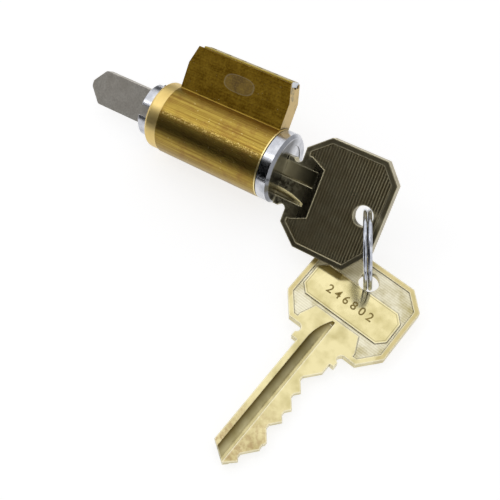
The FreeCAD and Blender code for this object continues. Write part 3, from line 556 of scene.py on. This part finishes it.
    # Painted shade at the end of the deepest groove, against the bow.
    deepShade = add(tree, "ShaderNodeMapRange", {**look["deepShadeRange"], "To Max": look["mouthShade"]},
               {"Value": place["X"]})
    deepest = add(tree, "ShaderNodeMath", {"operation": "LESS_THAN", 1: look["deepFloor"]}, {0: across})
    for part in (deepest, facingUp):
        deepShade = add(tree, "ShaderNodeMath", {"operation": "MULTIPLY"}, {0: deepShade, 1: part})
    # Handling has browned the blade towards its tip.
    spots = add(tree, "ShaderNodeMapRange", look["spotRange"], {"Value": blots})
    nearTip = add(tree, "ShaderNodeMapRange", look["tipRange"], {"Value": place["X"]})
    for part in (nearTip, flush):
        spots = add(tree, "ShaderNodeMath", {"operation": "MULTIPLY"}, {0: spots, 1: part})
    for share, paint in ((deepShade, "paintedShade"), (spots, "tarnish")):
        colour = add(tree, "ShaderNodeMix", {"data_type": "RGBA", 7: linear(look[paint])},
                     {0: share, 6: colour}).outputs[2]
    rough = add(tree, "ShaderNodeMapRange", {"To Min": look["rimRough"], "To Max": look["neckRough"]},
                {"Value": neck})
    finishes = ((milled, "grooveRough"), (field, "fieldRough"), (plate, "plateRough"), (mouth, "mouthRough"))
    for share, finish in finishes:
        rough = add(tree, "ShaderNodeMix", {"data_type": "FLOAT", 3: look[finish]}, {0: share, 2: rough})
    rough = add(tree, "ShaderNodeMath", {"operation": "MULTIPLY_ADD", 1: look["stainDuller"]},
                {0: stains, 2: rough})
    # The die's own grain shows in the field between the ribs.
    grain = add(tree, "ShaderNodeTexNoise", {"Scale": 1 / look["grainSize"], "Detail": 3.0, "Roughness": 0.7},
                {"Vector": point})
    grain = add(tree, "ShaderNodeMath", {"operation": "MULTIPLY"}, {0: grain, 1: field})
    height = add(tree, "ShaderNodeMath", {"operation": "MULTIPLY_ADD", 1: look["grain"]},
                 {0: grain, 2: weave})
    height = add(tree, "ShaderNodeMath", {"operation": "MULTIPLY_ADD", 1: look["scratchHeight"]},
                 {0: lines, 2: height})
    metalShader(tree, look, colour, rough, height)
    return material


# Pins and springs inside the lock: turned and drawn metal, bright, with fine marks all over. The ring and
# the struck figures have the same marks, in colours of their own.
smallLook = {
    "rough": 0.25, "roughSpread": 0.12, "grain": 0.6, "toneRange": {"From Min": 0.35, "From Max": 0.65},
    "depth": 0.003, "edge": 0.05,
}
smallLooks = {
    "keyPins": {"name": "turned pin brass", "light": "#d8b462", "dark": "#c79e49"},
    "driverPins": {"name": "turned nickel silver", "light": "#cfcabc", "dark": "#b9b4a6"},
    "springs": {"name": "bright spring wire", "light": "#c8cad0", "dark": "#a4a7ae", "rough": 0.18},
    "steelPins": {"name": "ground steel pin", "light": "#b4b6bb", "dark": "#989ba1"},
}


def smallMetal(look):
    look = {**smallLook, **look}
    material, tree = newMaterial(look["name"])
    point = localPlace(tree, (0, 0, 0))[0]
    marks = add(tree, "ShaderNodeTexNoise", {"Scale": 1 / look["grain"], "Detail": 4.0}, {"Vector": point})
    tone = add(tree, "ShaderNodeMapRange", look["toneRange"], {"Value": marks})
    colour = add(tree, "ShaderNodeMix",
                 {"data_type": "RGBA", 6: linear(look["light"]), 7: linear(look["dark"])},
                 {0: tone}).outputs[2]
    rough = add(tree, "ShaderNodeMapRange",
                {"From Min": 0.2, "From Max": 0.8, "To Min": look["rough"],
                 "To Max": look["rough"] + look["roughSpread"]}, {"Value": marks})
    metalShader(tree, look, colour, rough, marks)
    return material


keyShoulder = turnMatrix(layout["lockTurn"]) @ (Vector((layout["plugFace"], 0, -layout["keyDrop"])) * mm)
spareShoulder = Vector(layout["spareShoulder"]) * mm
dress("shell", drawnBrass(shellLook))
dress("rear_collar", turnedBrass(collarLook))
dress("pin_cover", rolledBrass(coverLook))
dress("plug", platedPlug(plugLook))
dress("tailpiece", tumbledSteel(tailLook))
dress("key", coinedNickelSilver(insertedLook, layout["lockTurn"], keyShoulder))
dress("spare_key", coinedNickelSilver(spareLook, layout["spareTurn"], spareShoulder))
smallMetals = {use: smallMetal(look) for use, look in smallLooks.items()}
for name in nodes:
    if name.startswith("key_pin_"):
        dress(name, smallMetals["keyPins"])
    elif name.startswith("driver_pin_"):
        dress(name, smallMetals["driverPins"])
    elif "spring" in name:
        dress(name, smallMetals["springs"])
    elif name in ("collar_pin", "tailpiece_pin"):
        dress(name, smallMetals["steelPins"])
print("finishes done")

# Split ring: two turns of round wire, sprung together so that they all but touch, with one crossing. It is
# hardened steel, which the keys keep rubbed bright. The wire is a little thicker than the solid's and its
# turns are closer, as in the photo. Heading, lean and join are in degrees, and the crossing in turns.
ringLook = {
    "metal": {
        "name": "hardened steel wire", "light": "#cdd0d8", "dark": "#9b9faa", "rough": 0.07, "grain": 1.5,
    },
    "centre": (54.2029, -5.7025, 0.7577), "heading": 29.1, "lean": 6.8, "join": 93.0,
    "radius": 8.16, "wire": 0.88, "pitch": 0.98, "turns": 2 - 46 / 360, "crossing": 0.125,
    "sides": 16, "steps": 180,
}


def splitRing(look):
    turn = Matrix.Rotation(math.radians(look["heading"]), 4, "Z")
    turn = turn @ Matrix.Rotation(math.radians(90 - look["lean"]), 4, "Y")
    turn = turn @ Matrix.Rotation(math.radians(look["join"]), 4, "Z")
    place = Matrix.Translation(Vector(look["centre"]) * mm) @ turn
    shape = bmesh.new()
    start = Matrix.Translation((look["radius"] * mm, 0, -look["pitch"] / 2 * mm))
    bmesh.ops.create_circle(shape, cap_ends=True, segments=look["sides"], radius=look["wire"] / 2 * mm,
                            matrix=start @ Matrix.Rotation(math.pi / 2, 4, "X"))
    last = shape.faces[:] + shape.edges[:] + shape.verts[:]
    risen = 0
    stepAngle = math.radians(360 * look["turns"] / look["steps"])
    for i in range(look["steps"]):
        # The wire stays flat in each turn and climbs smoothly where it crosses.
        share = ((i + 1) / look["steps"] - 0.5) * look["turns"] / look["crossing"] + 0.5
        share = min(max(share, 0), 1)
        height = look["pitch"] * mm * share * share * (3 - 2 * share)
        made = bmesh.ops.spin(shape, geom=last, cent=(0, 0, 0), axis=(0, 0, 1), dvec=(0, 0, height - risen),
                              angle=stepAngle, steps=1, use_merge=False)
        last = made["geom_last"]
        risen = height
    bmesh.ops.recalc_face_normals(shape, faces=shape.faces[:])
    for face in shape.faces:
        face.smooth = len(face.verts) == 4
    bmesh.ops.transform(shape, matrix=place, verts=shape.verts)
    piece = newPiece("split_ring", shape, smallMetal(look["metal"]))
    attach(piece, "ring")
    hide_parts("key_ring")


splitRing(ringLook)
print("ring done")

# Pin springs: copies of the solids' coils, carried by the housing in place of the solids' own.
springLook = {"weld": 0.0001, "top": 16.58, "keep": 0.56}


def pinSprings(look):
    for i in range(layout["pins"]):
        name = "pin_spring_%d" % (i + 1)
        shape = bmesh.new()
        shape.from_mesh(nodes[name].data)
        bmesh.ops.remove_doubles(shape, verts=shape.verts, dist=look["weld"] * mm)
        piece = newPiece("spring_coil_%d" % (i + 1), shape, smallMetals["springs"])
        piece.data.shade_smooth()
        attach(piece, "housing")
        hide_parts(name)
        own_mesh(piece)


pinSprings(springLook)
print("springs done")

# Figures struck in the spare key's plate: plain and evenly spaced.
figureLook = {
    "metal": {"name": "stamped nickel silver", "light": "#8d7c4a", "dark": "#6c5d34", "rough": 0.30},
    "figures": "246802", "height": 1.95, "fontRatio": 1.42, "pitch": 2.05, "depth": 0.05, "bolder": 0.04,
    "row": 13.4, "start": -6.1, "face": 1.05, "curveSteps": 3,
}


def struckFigures(look):
    onKey = Matrix.Translation(spareShoulder) @ turnMatrix(layout["spareTurn"])
    # The row runs to the cut side, the figures' tops point to the bow's end, and they face the upper side.
    upright = Matrix(((0, 1, 0, 0), (0, 0, 1, 0), (1, 0, 0, 0), (0, 0, 0, 1)))
    joined = bmesh.new()
    for i, figure in enumerate(look["figures"]):
        curve = bpy.data.curves.new("figure", "FONT")
        curve.body = figure
        curve.size = look["height"] * mm * look["fontRatio"]
        curve.extrude = look["depth"] / 2 * mm
        curve.offset = look["bolder"] * mm
        curve.resolution_u = look["curveSteps"]
        holder = bpy.data.objects.new("figure", curve)
        bpy.context.scene.collection.objects.link(holder)
        bpy.context.view_layer.update()
        mesh = bpy.data.meshes.new_from_object(holder.evaluated_get(bpy.context.evaluated_depsgraph_get()))
        foot = look["row"] - look["height"] / 2
        corner = Vector((foot, look["face"], look["start"] + i * look["pitch"])) * mm
        mesh.transform(onKey @ Matrix.Translation(corner) @ upright)
        joined.from_mesh(mesh)
        bpy.data.objects.remove(holder)
        bpy.data.meshes.remove(mesh)
    piece = newPiece("struck_figures", joined, smallMetal(look["metal"]))
    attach(piece, "spare_key")


struckFigures(figureLook)
print("figures done")

# Floor: a matte white card that melts into the white background and keeps a faint shadow. Dark and grey
# cards stand off to the sides and a dark apron lies in front. Only the metal sees these, and they give it
# its bands. All that is about the stage is in metres.
stageLook = {
    "floor": "#b9b9ba", "floorGlow": 0.74, "floorSize": (3.0, 3.0), "floorDrop": 0.00002,
    "aim": (0.03, -0.01, 0),
    "cards": [
        {"name": "dark_card_front", "place": (-0.2, -0.42, 0.235), "size": (0.62, 0.52), "colour": "#0b0b0c"},
        {"name": "dark_card_right", "place": (0.3, 0.16, 0.46), "size": (0.3, 0.3), "colour": "#1c1b18"},
        {"name": "grey_card_left", "place": (-0.3, 0.52, 0.1), "size": (0.6, 0.3), "colour": "#8c8c8c"},
    ],
    "apron": {"centre": (0.02, -0.33), "rise": 0.0001, "size": (0.9, 0.50), "colour": "#0b0b0c"},
}


def lookedAt(tree):
    # 1 where the floor or the room is seen, straight or in the metal, and 0 where it only lights the set.
    rays = add(tree, "ShaderNodeLightPath").outputs
    seen = add(tree, "ShaderNodeMath", {"operation": "MAXIMUM"},
               {0: rays["Is Camera Ray"], 1: rays["Is Glossy Ray"]})
    return add(tree, "ShaderNodeMath", {"operation": "MAXIMUM"}, {0: seen, 1: rays["Is Transmission Ray"]})


def stageCard(name, size, place, colour, glow=0):
    material, tree = newMaterial(name)
    shader = add(tree, "ShaderNodeBsdfDiffuse", {"Color": linear(colour)})
    if glow:
        strength = add(tree, "ShaderNodeMath", {"operation": "MULTIPLY", 1: glow}, {0: lookedAt(tree)})
        light = add(tree, "ShaderNodeEmission", {}, {"Strength": strength})
        shader = add(tree, "ShaderNodeAddShader", {}, {0: shader, 1: light})
    add(tree, "ShaderNodeOutputMaterial", {}, {"Surface": shader})
    shape = bmesh.new()
    bmesh.ops.create_grid(shape, x_segments=1, y_segments=1, size=0.5)
    bmesh.ops.transform(shape, matrix=place @ Matrix.Diagonal((*size, 1, 1)), verts=shape.verts)
    card = newPiece(name, shape, material)
    return card


def onlyInMetal(card):
    card.visible_camera = False
    card.visible_diffuse = False
    card.visible_shadow = False


def turnedTo(aim, place):
    return (Vector(place) - Vector(aim)).to_track_quat("Z", "Y")


table = layout["table"] * mm
floorPlace = Matrix.Translation((0, 0, table - stageLook["floorDrop"]))
stageCard("floor", stageLook["floorSize"], floorPlace, stageLook["floor"], stageLook["floorGlow"])
for look in stageLook["cards"]:
    turn = turnedTo(stageLook["aim"], look["place"]).to_matrix().to_4x4()
    place = Matrix.Translation(look["place"]) @ turn
    onlyInMetal(stageCard(look["name"], look["size"], place, look["colour"]))
apron = stageLook["apron"]
place = Matrix.Translation((*apron["centre"], table + apron["rise"]))
onlyInMetal(stageCard("dark_apron", apron["size"], place, apron["colour"]))

# World: an even white room, which lights the set at less than half strength.
worldLook = {"colour": "#ffffff", "fill": 0.45}
world = bpy.data.worlds.new("white_room")
bpy.context.scene.world = world
world.use_nodes = True
room = world.node_tree
level = add(room, "ShaderNodeMapRange", {"To Min": worldLook["fill"], "To Max": 1.0},
            {"Value": lookedAt(room)})
background = room.nodes["Background"]
background.inputs["Color"].default_value = linear(worldLook["colour"])
room.links.new(level.outputs[0], background.inputs["Strength"])

# Lamps: a large soft one above and behind, and a small one on the left that draws the crisp glints.
lampLook = {
    "aim": (0.03, -0.02, 0),
    "lamps": [
        {"name": "soft_top", "place": (-0.22, 0.36, 0.85), "size": 1.15, "watts": 1.4},
        {"name": "small_left", "place": (-0.42, -0.16, 0.64), "size": 0.14, "watts": 0.22},
    ],
}
for look in lampLook["lamps"]:
    lamp = bpy.data.lights.new(look["name"], "AREA")
    lamp.size = look["size"]
    lamp.energy = look["watts"]
    holder = bpy.data.objects.new(look["name"], lamp)
    holder.location = look["place"]
    holder.rotation_euler = turnedTo(lampLook["aim"], look["place"]).to_euler()
    bpy.context.scene.collection.objects.link(holder)
print("stage and lights done")

# Camera: fitted to the photograph. Place in millimetres, angles in degrees, focal length in pixels of the
# picture's width. The sensor's width is in millimetres as well, and the near limit in metres.
cameraLook = {
    "place": (75.84, -85.58, 162.56), "turn": 32.408, "rise": 64.0, "focal": 863.0,
    "pixels": 500, "sensor": 36, "near": 0.005,
}
camera = bpy.data.cameras.new("camera")
camera.sensor_width = cameraLook["sensor"]
camera.lens = cameraLook["sensor"] * cameraLook["focal"] / cameraLook["pixels"]
camera.clip_start = cameraLook["near"]
viewer = bpy.data.objects.new("camera", camera)
viewer.location = Vector(cameraLook["place"]) * mm
viewer.rotation_euler = (math.radians(90 - cameraLook["rise"]), 0, math.radians(cameraLook["turn"]))
bpy.context.scene.collection.objects.link(viewer)
bpy.context.scene.camera = viewer
bpy.context.scene.view_settings.view_transform = "Standard"
print("camera done")
